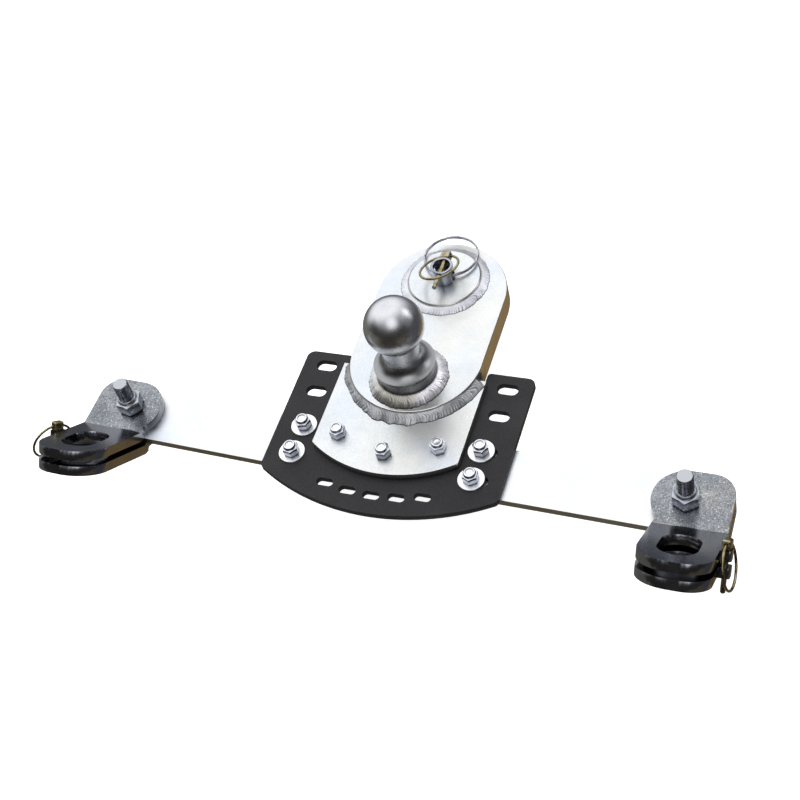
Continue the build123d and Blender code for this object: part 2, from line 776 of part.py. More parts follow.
with BuildPart() as left_arm_bolts:
    with Locations(*bolt_pair(left_arm_frame, arm_bottom - touch)):
        add(arm_bolt)

with BuildPart() as right_arm_bolts:
    with Locations(*bolt_pair(right_arm_frame, arm_bottom - touch)):
        add(arm_bolt)

with BuildPart() as left_arm_washers:
    with Locations(*bolt_pair(left_arm_frame, cross_top + touch)):
        add(small_washer)

with BuildPart() as right_arm_washers:
    with Locations(*bolt_pair(right_arm_frame, cross_top + touch)):
        add(small_washer)

with BuildPart() as left_arm_nuts:
    with Locations(*bolt_pair(left_arm_frame, cross_top + washer_thickness + 2 * touch)):
        add(small_nut)

with BuildPart() as right_arm_nuts:
    with Locations(*bolt_pair(right_arm_frame, cross_top + washer_thickness + 2 * touch)):
        add(small_nut)

with BuildPart() as left_stud:
    with Locations(stud_place(left_arm_frame, -1, lower_pad_bottom - touch)):
        add(jaw_stud)

with BuildPart() as right_stud:
    with Locations(stud_place(right_arm_frame, 1, lower_pad_bottom - touch)):
        add(jaw_stud)

with BuildPart() as left_stud_nut:
    with Locations(stud_place(left_arm_frame, -1, upper_pad_top + touch)):
        add(stud_nut)

with BuildPart() as right_stud_nut:
    with Locations(stud_place(right_arm_frame, 1, upper_pad_top + touch)):
        add(stud_nut)

# ---- chain jaws and their linch pins ----

with BuildPart() as left_upper_jaw:
    add(jaw(left_arm_frame, -1, jaw_bend, upper_pad_top, 0))

with BuildPart() as left_lower_jaw:
    add(jaw(left_arm_frame, -1, jaw_bend + bend_shift, lower_pad_top, tab_shift))

with BuildPart() as right_upper_jaw:
    add(jaw(right_arm_frame, 1, jaw_bend, upper_pad_top, 0))

with BuildPart() as right_lower_jaw:
    add(jaw(right_arm_frame, 1, jaw_bend + bend_shift, lower_pad_top, tab_shift))

left_pin_swing = 22.0
right_pin_swing = -7.0
left_ring_angle = 26.0
right_ring_angle = 10.0
left_pin_seat = jaw_pin_plane(left_arm_frame, -1, left_pin_swing)
right_pin_seat = jaw_pin_plane(right_arm_frame, 1, right_pin_swing)

with BuildPart() as left_linch_pin:
    add(linch_pin(left_pin_seat))

with BuildPart() as right_linch_pin:
    add(linch_pin(right_pin_seat))

with BuildPart() as left_linch_ring:
    add(snap_ring(left_pin_seat, left_ring_angle, -1))

with BuildPart() as right_linch_ring:
    add(snap_ring(right_pin_seat, right_ring_angle, 1))

# ---- labels and files ----

pieces = {
    "offset_plate": offset_plate,
    "hitch_ball": hitch_ball,
    "ball_weld": ball_weld,
    "shank_weld": shank_weld,
    "plate_weld": plate_weld,
    "front_plate": front_plate,
    "cross_plate": cross_plate,
    "centre_bolts": centre_bolts,
    "centre_nuts": centre_nuts,
    "shank": shank,
    "guide_tube": guide_tube,
    "lock_stem": lock_stem,
    "lock_spring": lock_spring,
    "lock_ball_1": lock_balls[0],
    "lock_ball_2": lock_balls[1],
    "lock_ball_3": lock_balls[2],
    "lock_ball_4": lock_balls[3],
    "base_cap": base_cap,
    "cap_screws": cap_screws,
    "pull_ring": pull_ring,
    "safety_pin": safety_pin,
    "safety_ring": safety_ring,
    "left_arm": left_arm,
    "right_arm": right_arm,
    "left_arm_bolts": left_arm_bolts,
    "right_arm_bolts": right_arm_bolts,
    "left_arm_washers": left_arm_washers,
    "right_arm_washers": right_arm_washers,
    "left_arm_nuts": left_arm_nuts,
    "right_arm_nuts": right_arm_nuts,
    "left_stud": left_stud,
    "right_stud": right_stud,
    "left_stud_nut": left_stud_nut,
    "right_stud_nut": right_stud_nut,
    "left_upper_jaw": left_upper_jaw,
    "left_lower_jaw": left_lower_jaw,
    "right_upper_jaw": right_upper_jaw,
    "right_lower_jaw": right_lower_jaw,
    "left_linch_pin": left_linch_pin,
    "right_linch_pin": right_linch_pin,
    "left_linch_ring": left_linch_ring,
    "right_linch_ring": right_linch_ring,
}

for name, piece in pieces.items():
    piece.part.label = name
    export_step(piece.part, f"parts/{name}.step")
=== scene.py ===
"""Looks of the offset gooseneck hitch ball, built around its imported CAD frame.

Metres, +Z up, +Y to the rear. Meshes are written in millimetres and scaled on the way in.
"""

from math import atan2, cos, exp, pi, radians, sin, tan

import bpy
import numpy as np
from mathutils import Matrix, Vector, noise


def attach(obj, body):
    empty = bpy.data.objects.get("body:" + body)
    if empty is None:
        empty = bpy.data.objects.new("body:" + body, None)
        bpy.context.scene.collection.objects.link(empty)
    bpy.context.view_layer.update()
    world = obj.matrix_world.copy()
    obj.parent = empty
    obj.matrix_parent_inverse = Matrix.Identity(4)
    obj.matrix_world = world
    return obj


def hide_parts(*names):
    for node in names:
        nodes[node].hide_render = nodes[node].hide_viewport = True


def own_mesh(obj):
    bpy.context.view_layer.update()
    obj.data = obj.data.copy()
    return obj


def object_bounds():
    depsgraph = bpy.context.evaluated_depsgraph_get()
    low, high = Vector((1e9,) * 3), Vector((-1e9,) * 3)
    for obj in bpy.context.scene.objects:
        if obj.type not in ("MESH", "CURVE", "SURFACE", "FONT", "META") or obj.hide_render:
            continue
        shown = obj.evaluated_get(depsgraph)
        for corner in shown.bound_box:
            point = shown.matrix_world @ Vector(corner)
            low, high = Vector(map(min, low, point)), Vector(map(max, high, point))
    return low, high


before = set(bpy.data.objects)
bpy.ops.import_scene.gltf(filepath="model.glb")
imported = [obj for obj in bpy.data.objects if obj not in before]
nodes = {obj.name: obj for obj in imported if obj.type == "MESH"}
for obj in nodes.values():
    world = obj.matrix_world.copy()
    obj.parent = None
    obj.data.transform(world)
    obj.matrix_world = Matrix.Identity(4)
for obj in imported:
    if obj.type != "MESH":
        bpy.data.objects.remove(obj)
cad_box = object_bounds()

MM = 0.001
INCH = 25.4
# painted shade: the weld beads' toes and the creases between their ripples are darkened through this attribute
PAINTED_SHADE = "painted_shade_amount"  # point attribute: how dark a weld bead is at its toes and creases


# ---------------------------------------------------------------- mesh helpers


def lerp(a, b, t):
    return a + (b - a) * t


def smooth(t):
    t = min(1.0, max(0.0, t))
    return t * t * (3 - 2 * t)


def wave(x, y=0.0, z=0.0):
    """Smooth noise of about -1 to 1 that is the same on each run."""
    return noise.noise(Vector((x, y, z)))


class Build:
    """Collects vertices in millimetres, with an optional painted-shade value for each."""

    def __init__(self):
        self.verts, self.faces, self.dark = [], [], []

    def ring(self, points, dark=0.0):
        start = len(self.verts)
        self.verts += [tuple(p) for p in points]
        self.dark += list(dark) if hasattr(dark, "__len__") else [dark] * len(points)
        return list(range(start, start + len(points)))

    def bridge(self, a, b):
        """Joins two closed rings of the same length."""
        for i in range(len(a)):
            j = (i + 1) % len(a)
            self.faces.append((a[i], a[j], b[j], b[i]))

    def stack(self, rings, loop=False):
        for a, b in zip(rings, rings[1:]):
            self.bridge(a, b)
        if loop:
            self.bridge(rings[-1], rings[0])

    def fan(self, ring, point, flip=False):
        self.verts.append(tuple(point))
        self.dark.append(0.0)
        hub = len(self.verts) - 1
        n = len(ring)
        for i in range(n):
            j = (i + 1) % n
            self.faces.append((ring[j], ring[i], hub) if flip else (ring[i], ring[j], hub))

    def place(self, since, matrix):
        for i in range(since, len(self.verts)):
            self.verts[i] = tuple(matrix @ Vector(self.verts[i]))

    def make(self, name, material, body, replaces=(), slot=None, sharp=32):
        mesh = bpy.data.meshes.new(name)
        mesh.from_pydata([tuple(c * MM for c in v) for v in self.verts], [], self.faces)
        mesh.validate()
        attribute = mesh.attributes.new(PAINTED_SHADE, "FLOAT", "POINT")
        attribute.data.foreach_set("value", np.array(self.dark, np.float32))
        mesh.materials.append(material)
        mesh.polygons.foreach_set("use_smooth", [True] * len(mesh.polygons))
        mesh.set_sharp_from_angle(angle=radians(sharp))
        obj = bpy.data.objects.new(name, mesh)
        bpy.context.scene.collection.objects.link(obj)
        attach(obj, body)
        if replaces:
            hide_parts(*replaces)
        return obj


def circle(radius, z, n):
    return [(radius * cos(2 * pi * i / n), radius * sin(2 * pi * i / n), z) for i in range(n)]


def break_edges(name, width):
    """Rounds a CAD node's sharp edges with modifiers, so that they catch the light."""
    obj = nodes[name]
    weld = obj.modifiers.new("weld", "WELD")
    weld.merge_threshold = 2e-6
    flat = obj.modifiers.new("flat", "DECIMATE")
    flat.decimate_type = "DISSOLVE"
    flat.angle_limit = radians(0.4)
    bevel = obj.modifiers.new("edge", "BEVEL")
    bevel.width = width * MM
    bevel.segments = 2
    bevel.limit_method = "ANGLE"
    bevel.angle_limit = radians(28)
    bevel.harden_normals = True
    bevel.use_clamp_overlap = True


# ---------------------------------------------------------------- materials


class Shader:
    """A small wrapper that adds and links nodes by name."""

    def __init__(self, name):
        self.material = bpy.data.materials.new(name)
        self.material.use_nodes = True
        self.tree = self.material.node_tree
        self.bsdf = self.tree.nodes["Principled BSDF"]
        self.output = self.tree.nodes["Material Output"]
        self.place = self.node("ShaderNodeTexCoord").outputs["Object"]

    def node(self, kind, **values):
        made = self.tree.nodes.new(kind)
        for key, value in values.items():
            setattr(made, key, value)
        return made

    def link(self, a, b):
        self.tree.links.new(a, b)

    def set(self, socket, value):
        if isinstance(value, bpy.types.NodeSocket):
            self.link(value, socket)
        else:
            socket.default_value = value

    def mapped(self, scale, rotation=(0, 0, 0)):
        mapping = self.node("ShaderNodeMapping")
        mapping.inputs["Scale"].default_value = scale
        mapping.inputs["Rotation"].default_value = rotation
        self.link(self.place, mapping.inputs["Vector"])
        return mapping.outputs["Vector"]

    def noise(self, scale, detail=3.0, rough=0.55, vector=None, distortion=0.0):
        made = self.node("ShaderNodeTexNoise")
        made.inputs["Scale"].default_value = scale
        made.inputs["Detail"].default_value = detail
        made.inputs["Roughness"].default_value = rough
        made.inputs["Distortion"].default_value = distortion
        self.link(vector or self.place, made.inputs["Vector"])
        return made.outputs["Fac"]

    def cells(self, scale):
        made = self.node("ShaderNodeTexVoronoi")
        made.inputs["Scale"].default_value = scale
        self.link(self.place, made.inputs["Vector"])
        return made.outputs["Color"]

    def ramp(self, value, low, high, out_low=0.0, out_high=1.0):
        made = self.node("ShaderNodeMapRange")
        made.clamp = True
        self.set(made.inputs["Value"], value)
        made.inputs["From Min"].default_value = low
        made.inputs["From Max"].default_value = high
        made.inputs["To Min"].default_value = out_low
        made.inputs["To Max"].default_value = out_high
        return made.outputs["Result"]

    def math(self, operation, a, b=0.0):
        made = self.node("ShaderNodeMath", operation=operation)
        self.set(made.inputs[0], a)
        self.set(made.inputs[1], b)
        return made.outputs[0]

    def mix(self, factor, a, b, blend="MIX"):
        made = self.node("ShaderNodeMix", data_type="RGBA", blend_type=blend)
        self.set(made.inputs[0], factor)
        self.set(made.inputs[6], (*a, 1) if isinstance(a, tuple) else a)
        self.set(made.inputs[7], (*b, 1) if isinstance(b, tuple) else b)
        return made.outputs[2]

    def bump(self, height, strength, distance, normal=None):
        made = self.node("ShaderNodeBump")
        made.inputs["Strength"].default_value = strength
        made.inputs["Distance"].default_value = distance
        self.link(height, made.inputs["Height"])
        if normal:
            self.link(normal, made.inputs["Normal"])
        return made.outputs["Normal"]

    def attribute(self, name):
        made = self.node("ShaderNodeAttribute")
        made.attribute_name = name
        return made.outputs["Fac"]

    def axes(self, vector):
        """X, Y and Z outputs of a vector."""
        made = self.node("ShaderNodeSeparateXYZ")
        self.link(vector, made.inputs[0])
        return made.outputs

    def levelness(self, low, high):
        """0 below and 1 above these heights of the face's true normal."""
        normal = self.node("ShaderNodeNewGeometry").outputs["True Normal"]
        return self.ramp(self.axes(normal)["Z"], low, high)

    def corner_shade(self, distance):
        """1 in the open and towards 0 in corners, for painted shade where parts meet."""
        made = self.node("ShaderNodeAmbientOcclusion")
        made.samples = 4
        made.inputs["Distance"].default_value = distance
        return made.outputs["AO"]

    def finish(self, color, metallic, rough, normal=None, **others):
        self.set(self.bsdf.inputs["Base Color"], (*color, 1) if isinstance(color, tuple) else color)
        self.set(self.bsdf.inputs["Metallic"], metallic)
        self.set(self.bsdf.inputs["Roughness"], rough)
        if normal is not None:
            self.link(normal, self.bsdf.inputs["Normal"])
        for key, value in others.items():
            self.set(self.bsdf.inputs[key.replace("_", " ")], value)
        return self.material


def zinc(name, bright, dull, rough, speckle, glaze, mottle=26.0, scratch=0.25, grain=0.0):
    """Zinc plate: broad cool and warm mottling, fine speckle and hairline scratches.

    bright, dull and rough are for level faces; glaze is the roughness of the smoother plating on the faces that
    don't lie flat, and their colour, which on the bars is set darker and browner as painted shade and a painted
    reflection of the warm bench. Those faces also get painted shade in corners. grain adds dark crystals and pale
    flakes.
    """
    s = Shader(name)
    clouds = s.noise(mottle, 4, 0.6, distortion=0.4)
    tint = s.mix(s.ramp(s.noise(mottle * 0.6, 2), 0.38, 0.62), (0.80, 0.88, 1.0), (1.0, 0.965, 0.86))
    specks = s.ramp(s.noise(900, 2, 0.7), 0.42, 0.60)
    base = s.mix(s.ramp(clouds, 0.32, 0.68), dull, bright)
    base = s.mix(0.34, base, s.mix(1.0, base, tint, "MULTIPLY"))
    base = s.mix(s.math("MULTIPLY", specks, speckle), base, s.mix(1.0, base, (0.62, 0.65, 0.72), "MULTIPLY"))
    line_a = s.ramp(s.noise(1.0, 1, 0.5, s.mapped((900, 60, 60), (0, 0, 0.5))), 0.70, 0.78)
    line_b = s.ramp(s.noise(1.0, 1, 0.5, s.mapped((80, 1300, 60), (0, 0, 0.9))), 0.70, 0.78)
    lines = s.math("MAXIMUM", line_a, line_b)
    base = s.mix(s.math("MULTIPLY", lines, scratch), base, (0.95, 0.96, 1.0))
    roughness = s.ramp(s.math("ADD", s.math("MULTIPLY", clouds, 0.7), s.math("MULTIPLY", specks, 0.3)),
                       0.25, 0.75, rough[0], rough[1])
    height = s.math("ADD", s.math("MULTIPLY", specks, 0.6), s.math("MULTIPLY", lines, -0.8))
    if grain:
        cell = s.ramp(s.cells(950), 0.45, 0.75)
        base = s.mix(s.math("MULTIPLY", cell, grain), base, s.mix(1.0, base, (0.30, 0.31, 0.34), "MULTIPLY"))
        flake = s.ramp(s.cells(1100), 0.78, 0.90)
        base = s.mix(s.math("MULTIPLY", flake, 0.5), base, (0.80, 0.80, 0.80))

    side_color, glaze_rough = glaze
    level = s.levelness(0.86, 0.97)
    side_color_and_shade = s.mix(s.ramp(s.noise(52, 3), 0.4, 0.7), side_color, tuple(c * 0.84 for c in side_color))
    # painted shade: the faces that don't lie flat go much darker in corners and where parts meet
    side_color_and_shade = s.mix(s.ramp(s.corner_shade(0.010), 0.35, 0.9), s.mix(1.0, side_color_and_shade, (0.20, 0.20, 0.22), "MULTIPLY"), side_color_and_shade)
    base = s.mix(level, side_color_and_shade, base)
    smudge = s.ramp(s.noise(34, 4, 0.6), 0.3, 0.7, 0.85, 1.08)
    level_part = s.math("MULTIPLY", level, roughness)
    glaze_part = s.math("MULTIPLY", s.math("SUBTRACT", 1.0, level), glaze_rough)
    roughness = s.math("MULTIPLY", smudge, s.math("ADD", level_part, glaze_part))
    relief = s.math("ADD", s.math("MULTIPLY", level, 0.85), 0.15)
    normal = s.bump(s.math("MULTIPLY", height, relief), 0.10, 0.0002)
    normal = s.bump(s.math("MULTIPLY", s.noise(60, 3, 0.5), relief), 0.08, 0.0008, normal)
    return s.finish(base, 1.0, roughness, normal)


def make_materials():
    made = {}
    made["zinc"] = zinc("zinc_plate", (0.78, 0.785, 0.78), (0.66, 0.675, 0.68), (0.30, 0.44), 0.30,
                        glaze=((0.80, 0.78, 0.74), 0.30))
    # the bars' faces that don't lie flat are painted darker and browner: painted shade and a painted reflection of the
    # warm bench
    made["bar"] = zinc("zinc_bar", (0.83, 0.83, 0.825), (0.74, 0.755, 0.77), (0.30, 0.44), 0.15,
                       glaze=((0.50, 0.46, 0.39), 0.30))
    made["tube"] = zinc("zinc_tube", (0.52, 0.53, 0.56), (0.34, 0.35, 0.39), (0.22, 0.34), 0.4,
                        glaze=((0.42, 0.44, 0.50), 0.22))
    made["pad"] = zinc("zinc_pad", (0.385, 0.385, 0.38), (0.22, 0.225, 0.235), (0.22, 0.34), 0.5,
                       glaze=((0.32, 0.325, 0.35), 0.20), mottle=40.0, scratch=0.35, grain=0.55)

    s = Shader("powder_coat")
    orange = s.noise(520, 3, 0.55)
    fleck = s.ramp(s.noise(1500, 2, 0.6), 0.50, 0.72)
    color = s.mix(s.math("MULTIPLY", fleck, 0.5), (0.010, 0.0096, 0.0105), (0.042, 0.041, 0.044))
    color = s.mix(s.math("MULTIPLY", s.ramp(s.noise(18, 3), 0.5, 0.75), 0.35), color, (0.034, 0.032, 0.034))
    made["black"] = s.finish(color, 0.0, s.ramp(orange, 0.3, 0.7, 0.48, 0.62), s.bump(orange, 0.35, 0.0003),
                             Specular_IOR_Level=0.26)

    s = Shader("ball_steel")
    rings = s.noise(1.0, 2, 0.6, s.mapped((6, 6, 2600)))
    clouds = s.noise(45, 4, 0.6)
    color = s.mix(s.ramp(clouds, 0.3, 0.7), (0.55, 0.555, 0.58), (0.70, 0.70, 0.715))
    color = s.mix(s.math("MULTIPLY", s.ramp(s.noise(1300, 2, 0.7), 0.45, 0.62), 0.34), color, (0.40, 0.41, 0.44))
    # painted shade: the collar and the base of the ball go darker below 70 mm and are at their darkest below 50 mm
    foot = s.ramp(s.axes(s.place)["Z"], 0.070, 0.050)
    color = s.mix(foot, color, s.mix(1.0, color, (0.46, 0.46, 0.45), "MULTIPLY"))
    made["ball"] = s.finish(color, 1.0, s.ramp(clouds, 0.3, 0.7, 0.24, 0.33),
                            s.bump(s.noise(1500, 2, 0.6), 0.10, 0.0002, s.bump(rings, 0.10, 0.00015)))

    for name, light, dark in (
        ("weld", (0.76, 0.765, 0.80), (0.40, 0.40, 0.43)),
        ("weld_front", (0.50, 0.505, 0.515), (0.26, 0.26, 0.27)),
        ("weld_gold", (0.56, 0.54, 0.49), (0.30, 0.275, 0.23)),
    ):
        s = Shader(name + "_bead")
        edge = s.attribute(PAINTED_SHADE)
        patch = s.noise(60, 4, 0.6)
        color = s.mix(s.ramp(patch, 0.35, 0.68), light, tuple(lerp(a, b, 0.35) for a, b in zip(light, dark)))
        if name == "weld_gold":  # gold only in front: silver towards the right and paler towards the left
            side = s.axes(s.place)["X"]
            color = s.mix(s.ramp(side, 0.012, 0.026), color, (0.98, 0.96, 1.0))
            color = s.mix(s.ramp(side, -0.022, -0.034), color, (0.86, 0.87, 0.86))
        # painted shade: near-black at the bead's toes and in the creases between its ripples
        color = s.mix(s.ramp(edge, 0.15, 1.0), color, tuple(c * 0.22 for c in dark))
        made[name] = s.finish(color, 1.0, s.ramp(patch, 0.3, 0.7, 0.30, 0.44),
                              s.bump(s.noise(900, 3, 0.6), 0.25, 0.0003))

    for name, level in (("fastener", (0.86, 0.87, 0.90)), ("stud", (0.42, 0.43, 0.45))):
        s = Shader(name)
        clouds = s.noise(160, 3, 0.6)
        color = s.mix(s.ramp(clouds, 0.35, 0.65), (0.26, 0.29, 0.37), (0.60, 0.62, 0.67))
        # painted light and shade: level faces, such as the nuts' tops, take one flat colour, light on the small
        # fasteners and dark on the studs and their nuts
        color = s.mix(s.levelness(0.80, 0.95), color, level)
        # painted shade: near-black in corners, such as where a nut meets its washer or plate
        color = s.mix(s.ramp(s.corner_shade(0.004), 0.40, 0.92), (0.03, 0.033, 0.045), color)
        made[name] = s.finish(color, 1.0, s.ramp(clouds, 0.3, 0.7, 0.12, 0.24),
                              s.bump(s.noise(1200, 2), 0.08, 0.0002))

    s = Shader("washer")
    clouds = s.noise(120, 3, 0.6)
    color = s.mix(s.ramp(clouds, 0.35, 0.65), (0.86, 0.88, 0.90), (0.96, 0.96, 0.96))
    made["washer"] = s.finish(color, 1.0, s.ramp(clouds, 0.3, 0.7, 0.28, 0.40), s.bump(s.noise(1100, 2), 0.08, 0.0002))

    s = Shader("nylon_insert")
    made["nylon"] = s.finish(s.mix(s.noise(500, 2), (0.62, 0.62, 0.66), (0.78, 0.77, 0.80)), 0.0, 0.45,
                             s.bump(s.noise(900, 2), 0.1, 0.0002))

    s = Shader("yellow_zinc")
    clouds = s.noise(180, 3, 0.65, distortion=0.6)
    color = s.mix(s.ramp(clouds, 0.32, 0.66), (0.17, 0.13, 0.055), (0.44, 0.38, 0.21))
    color = s.mix(s.ramp(s.noise(90, 2), 0.56, 0.70), color, (0.42, 0.40, 0.34))
    made["yellow"] = s.finish(color, 1.0, s.ramp(clouds, 0.3, 0.7, 0.20, 0.38), s.bump(s.noise(1300, 2), 0.12, 0.0002))

    s = Shader("bright_wire")
    clouds = s.noise(200, 3, 0.6)
    color = s.mix(s.ramp(clouds, 0.35, 0.65), (0.30, 0.30, 0.34), (0.62, 0.62, 0.68))
    made["wire"] = s.finish(color, 1.0, 0.20, s.bump(s.noise(1200, 2), 0.06, 0.0002))

    s = Shader("machined_steel")
    turning = s.noise(1.0, 2, 0.6, s.mapped((5, 5, 2400)))
    color = s.mix(turning, (0.42, 0.42, 0.44), (0.62, 0.62, 0.63))
    made["machined"] = s.finish(color, 1.0, s.ramp(turning, 0.3, 0.7, 0.22, 0.38), s.bump(turning, 0.15, 0.0002))

    s = Shader("bearing_steel")
    made["bearing"] = s.finish(s.mix(s.noise(150, 3), (0.78, 0.78, 0.80), (0.90, 0.90, 0.91)), 1.0,
                               s.ramp(s.noise(240, 3), 0.4, 0.7, 0.06, 0.16), s.bump(s.noise(1400, 2), 0.03, 0.0001))
    return made


mat = make_materials()


def paint(material, *names):
    for name in names:
        obj = nodes[name]
        if not obj.data.materials:
            obj.data.materials.append(material)
        for socket in obj.material_slots:
            socket.material = material


JAWS = [side + level for side in ("left", "right") for level in ("_upper_jaw", "_lower_jaw")]

paint(mat["zinc"], "offset_plate", "front_plate", "shank", "base_cap")
paint(mat["tube"], "guide_tube")
paint(mat["bar"], "left_arm", "right_arm")
paint(mat["black"], "cross_plate")
paint(mat["ball"], "hitch_ball")
paint(mat["pad"], *JAWS)
paint(mat["machined"], "lock_stem")
paint(mat["bearing"], "lock_ball_1", "lock_ball_2", "lock_ball_3", "lock_ball_4")
paint(mat["fastener"], "cap_screws")
paint(mat["washer"], "left_arm_washers", "right_arm_washers")
paint(mat["yellow"], "safety_pin", "safety_ring", "left_linch_pin", "left_linch_ring", "right_linch_pin",
      "right_linch_ring")

break_edges("guide_tube", 0.3)
break_edges("cross_plate", 0.6)
for plate in ("offset_plate", "front_plate", "left_arm", "right_arm"):
    break_edges(plate, 0.5)
for jaw in JAWS:
    break_edges(jaw, 0.7)


# ---------------------------------------------------------------- fasteners


ROUND = 72  # points round a bolt or nut


def hex_radius(across, angle):
    """Distance from the centre to a hexagon's side, at this angle."""
    step = pi / 3
    return across / 2 / cos((angle + step / 2) % step - step / 2)


def hex_ring(across, z_of, shrink=1.0):
    points = []
    for i in range(ROUND):
        angle = 2 * pi * i / ROUND
        radius = hex_radius(across, angle) * shrink
        points.append((radius * cos(angle), radius * sin(angle), z_of(radius)))
    return points


def hex_body(build, across, low, high, bore=0.0):
    """Chamfered hexagon from low to high; returns its top flat's ring and, with a bore, the bore's lower ring."""
    flat = 0.475 * across
    slope = tan(radians(30))

    def top(radius):
        return high - max(0.0, radius - flat) * slope

    def bottom(radius):
        return low + max(0.0, radius - flat) * slope

    rings = []
    if bore:
        rings.append(build.ring(circle(bore, low, ROUND)))
    rings.append(build.ring(circle(flat, low, ROUND)))
    rings.append(build.ring(hex_ring(across, bottom, 0.985)))
    rings.append(build.ring(hex_ring(across, lambda r: bottom(r) + 0.25)))
    rings.append(build.ring(hex_ring(across, lambda r: top(r) - 0.25)))
    rings.append(build.ring(hex_ring(across, top, 0.985)))
    rings.append(build.ring(circle(flat, high, ROUND)))
    build.stack(rings)
    if not bore:
        build.fan(rings[0], (0, 0, low), flip=True)
    return rings[-1], rings[0]


def threaded(build, radius, low, high, pitch, depth):
    """Screw thread from low to high with a chamfered, dimpled end; returns its first ring."""
    rings = []
    steps = max(6, int((high - low) / pitch * 6))
    for k in range(steps + 1):
        z = lerp(low, high, k / steps)
        runout = smooth((high - z) / (1.2 * pitch))
        chamfer = radius - 0.9 * max(0.0, z - (high - 0.13 * radius))
        ring = []
        for i in range(ROUND):
            angle = 2 * pi * i / ROUND
            groove = abs(2 * ((z / pitch - angle / (2 * pi)) % 1.0) - 1)
            r = min(radius - depth * max(0.0, 1 - groove * 1.25) * runout, chamfer)
            ring.append((r * cos(angle), r * sin(angle), z))
        rings.append(build.ring(ring))
    build.stack(rings)
    top = build.ring(circle(radius * 0.72, high + 0.02, ROUND))
    build.bridge(rings[-1], top)
    dimple = build.ring(circle(radius * 0.45, high - 0.10, ROUND))
    build.bridge(top, dimple)
    build.fan(dimple, (0, 0, high - 0.16))
    return rings[0]


def bolt(build, matrix, size, length):
    """Hex bolt whose head hangs below its local XY and whose shank rises to length."""
    since = len(build.verts)
    rim, _ = hex_body(build, size["across"], -size["head"], 0.0)
    neck = build.ring(circle(size["radius"], 0.0, ROUND))
    build.bridge(rim, neck)
    thread_from = length - size["exposed"]
    shank = build.ring(circle(size["radius"], thread_from, ROUND))
    build.bridge(neck, shank)
    start = threaded(build, size["radius"], thread_from, length, size["pitch"], size["depth"])
    build.bridge(shank, start)
    build.place(since, matrix)


def nut(build, insert, matrix, size):
    """Prevailing-torque nut: chamfered hexagon, rolled collar, and a nylon insert in its own build."""
    since, since_insert = len(build.verts), len(insert.verts)
    bore, height = size["radius"] + 0.05, size["nut_height"]
    rim, foot = hex_body(build, size["across"], 0.0, height, bore)
    outer = 0.41 * size["across"]
    top = height + size["collar"]
    profile = [
        (outer + 0.35, height + 0.02), (outer + 0.08, height + 0.25), (outer, height + 0.7),
        (outer, top - 1.1), (outer - 0.18, top - 0.5), (outer - 0.6, top - 0.12), (outer - 1.05, top),
        (outer - 1.45, top - 0.06), (outer - 1.65, top - 0.35),
        (outer - 1.65, height - 0.5), (bore, height - 0.5),
    ]
    rings = [rim] + [build.ring(circle(radius, z, ROUND)) for radius, z in profile]
    build.stack(rings)
    build.bridge(rings[-1], foot)
    lip = [(bore + 0.02, height), (bore + 0.02, top - 0.75), (bore + 0.25, top - 0.5),
           (outer - 1.95, top - 0.42), (outer - 1.68, top - 0.6), (outer - 1.68, height)]
    insert.stack([insert.ring(circle(radius, z, ROUND)) for radius, z in lip], loop=True)
    build.place(since, matrix)
    insert.place(since_insert, matrix)


def spot(x, y, z, turn=0.0):
    return Matrix.Translation((x, y, z)) @ Matrix.Rotation(radians(turn), 4, "Z")


def solids_of(node):
    """Centre, lowest and highest level of each separate solid in a node's mesh, in millimetres."""
    mesh = nodes[node].data
    parent = list(range(len(mesh.vertices)))

    def find(i):
        while parent[i] != i:
            parent[i] = parent[parent[i]]
            i = parent[i]
        return i

    seen = {}
    for v in mesh.vertices:
        key = tuple(round(c, 6) for c in v.co)
        if key in seen:
            parent[find(v.index)] = find(seen[key])
        else:
            seen[key] = v.index
    for e in mesh.edges:
        parent[find(e.vertices[0])] = find(e.vertices[1])
    groups = {}
    for v in mesh.vertices:
        groups.setdefault(find(v.index), []).append(v.co)
    spots = []
    for co in groups.values():
        a = np.array(co)
        low, high = a.min(0), a.max(0)
        spots.append(((low + high) / 2 / MM, low[2] / MM, high[2] / MM))
    return sorted(spots, key=lambda item: (round(item[0][0], 3), round(item[0][1], 3)))


# exposed is the threaded length below the bolt's end
BOLT_3_8 = {"radius": 0.1875 * INCH, "across": 14.3, "head": 6.1, "nut_height": 8.6, "collar": 3.0,
            "pitch": INCH / 16, "depth": 0.55, "exposed": 12.0}
STUD_5_8 = {"radius": 0.3125 * INCH, "across": 23.8, "head": 10.7, "nut_height": 14.0, "collar": 3.5,
            "pitch": 2.309, "depth": 0.7, "exposed": 38.0}


def fasteners(prefix, body, bolt_node, nut_node, turn, size, material):
    bolts, nuts, inserts = Build(), Build(), Build()
    for k, (centre, low, high) in enumerate(solids_of(bolt_node)):
        own = spot(centre[0], centre[1], low + size["head"], turn + 17 * k)
        bolt(bolts, own, size, high - low - size["head"])
    for k, (centre, low, high) in enumerate(solids_of(nut_node)):
        nut(nuts, inserts, spot(centre[0], centre[1], low, turn + 23 * k), size)
    bolts.make(prefix + "_bolts", material, body, [bolt_node], "fastener")
    nuts.make(prefix + "_nuts", material, body, [nut_node], "fastener")
    inserts.make(prefix + "_nylon", mat["nylon"], body)


fasteners("front_plate", "hitch", "centre_bolts", "centre_nuts", 12, BOLT_3_8, mat["fastener"])
for side, turn in (("left", 20), ("right", 5)):
    arm = side + "_arm"
    fasteners(arm, arm, arm + "_bolts", arm + "_nuts", turn, BOLT_3_8, mat["fastener"])
    fasteners(side + "_jaw", arm, side + "_stud", side + "_stud_nut", turn, STUD_5_8, mat["stud"])


# ---------------------------------------------------------------- welds


WELD_ACROSS = 18  # steps from the outer toe to the inner one
WELD_STEP = 0.45  # mm between cross-sections
WELD_SUNK = 0.3  # mm that the bead reaches into the plate below it
WELD_TUCK = 0.4  # mm that it reaches into the round it is against


